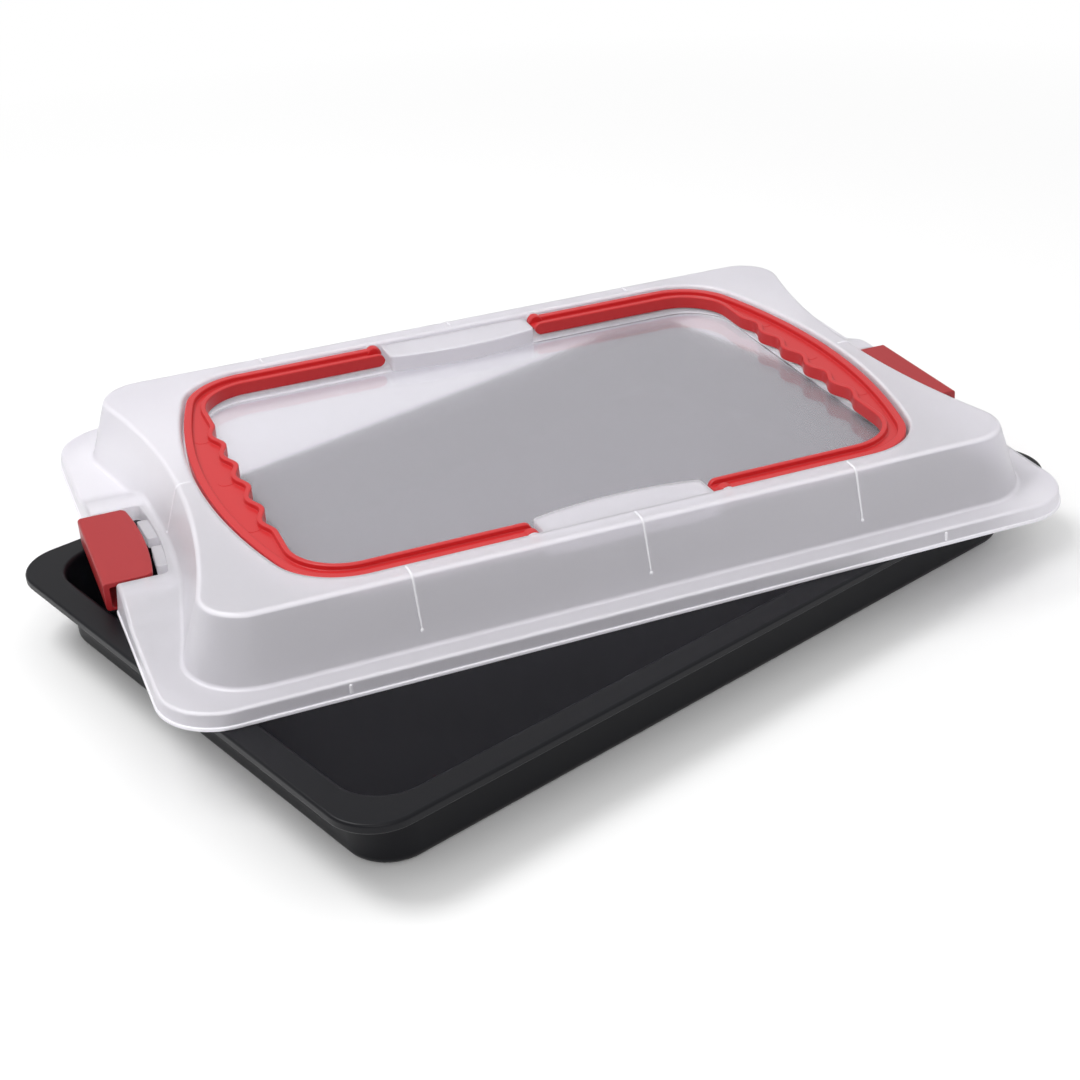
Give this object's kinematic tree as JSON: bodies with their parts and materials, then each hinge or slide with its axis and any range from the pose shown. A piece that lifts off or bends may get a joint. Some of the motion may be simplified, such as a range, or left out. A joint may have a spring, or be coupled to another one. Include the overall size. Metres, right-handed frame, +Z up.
{
  "type": "cake pan with lid",
  "caption": "Shallow rectangular non-stick baking pan with a frosted carrying lid laid askew on its rim; the lid has folding bail handles and hook clips",
  "frame": {"origin": "centre of the pan's underside", "axes": "+X along the pan, +Y across it, +Z up"},
  "size_m": [0.491, 0.4068, 0.0745],
  "materials": {
    "pan_coating": "satin non-stick",
    "lid_plastic": "frosted, translucent",
    "handle_plastic": "satin",
    "clip_plastic": "satin"
  },
  "bodies": {
    "pan_and_lid": {"pan": "pan_coating", "lid": "lid_plastic"},
    "bail_left": {"handle_left": "handle_plastic"},
    "bail_right": {"handle_right": "handle_plastic"},
    "hook_left": {"clip_left": "clip_plastic"},
    "hook_right": {"clip_right": "clip_plastic"}
  },
  "joints": [
    {"name": "handle_left_hinge", "type": "hinge", "parent": "pan_and_lid", "child": "bail_left", "pos_m": [-0.02152, 0.04788, 0.0695], "axis": [0.3156, 0.9489, 0], "range_deg": [0, 110]},
    {"name": "handle_right_hinge", "type": "hinge", "parent": "pan_and_lid", "child": "bail_right", "pos_m": [0.06672, 0.01852, 0.0695], "axis": [-0.3156, -0.9489, 0], "range_deg": [0, 110]},
    {"name": "clip_left_hinge", "type": "hinge", "parent": "pan_and_lid", "child": "hook_left", "pos_m": [-0.16812, 0.09664, 0.0466], "axis": [0.3156, 0.9489, 0], "range_deg": [0, 110]},
    {"name": "clip_right_hinge", "type": "hinge", "parent": "pan_and_lid", "child": "hook_right", "pos_m": [0.21332, -0.03025, 0.0466], "axis": [-0.3156, -0.9489, 0], "range_deg": [0, 110]}
  ]
}
